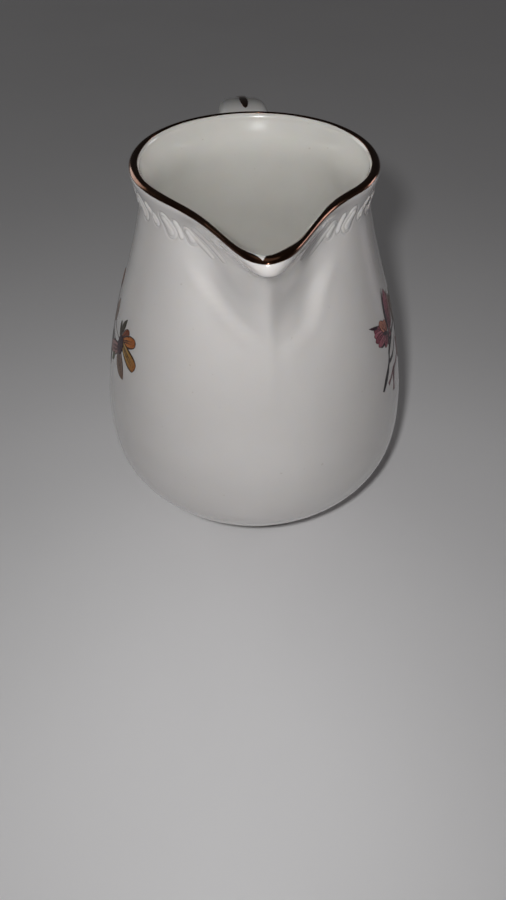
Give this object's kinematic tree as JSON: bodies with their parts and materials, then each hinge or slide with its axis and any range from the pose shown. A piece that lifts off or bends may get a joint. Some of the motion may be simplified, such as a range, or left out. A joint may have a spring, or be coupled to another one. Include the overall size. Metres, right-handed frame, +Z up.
{
  "type": "cream jug",
  "caption": "Pear-shaped porcelain cream jug with a drawn pouring spout, an ear-shaped handle opposite it, gilded edges and printed flower sprays.",
  "frame": {"origin": "on the surface the jug stands on, under the middle of the jug's box in X and Y", "axes": "+Z up, -Y to the spout, +Y to the handle, +X to the right when facing the spout"},
  "size_m": [0.082, 0.1142, 0.1012],
  "materials": {
    "glaze": "white porcelain under a clear gloss glaze",
    "gilding": "bright fired gold, a little worn",
    "transfer_colours": "printed on-glaze colours, orange, maroon and green"
  },
  "bodies": {
    "root": {"body": "glaze", "handle": "glaze", "handle_slip_upper": "glaze", "handle_slip_lower": "glaze", "rim_gilding": "gilding", "handle_gilding": "gilding", "flower_transfer_left": "transfer_colours", "flower_transfer_right": "transfer_colours"}
  },
  "joints": []
}
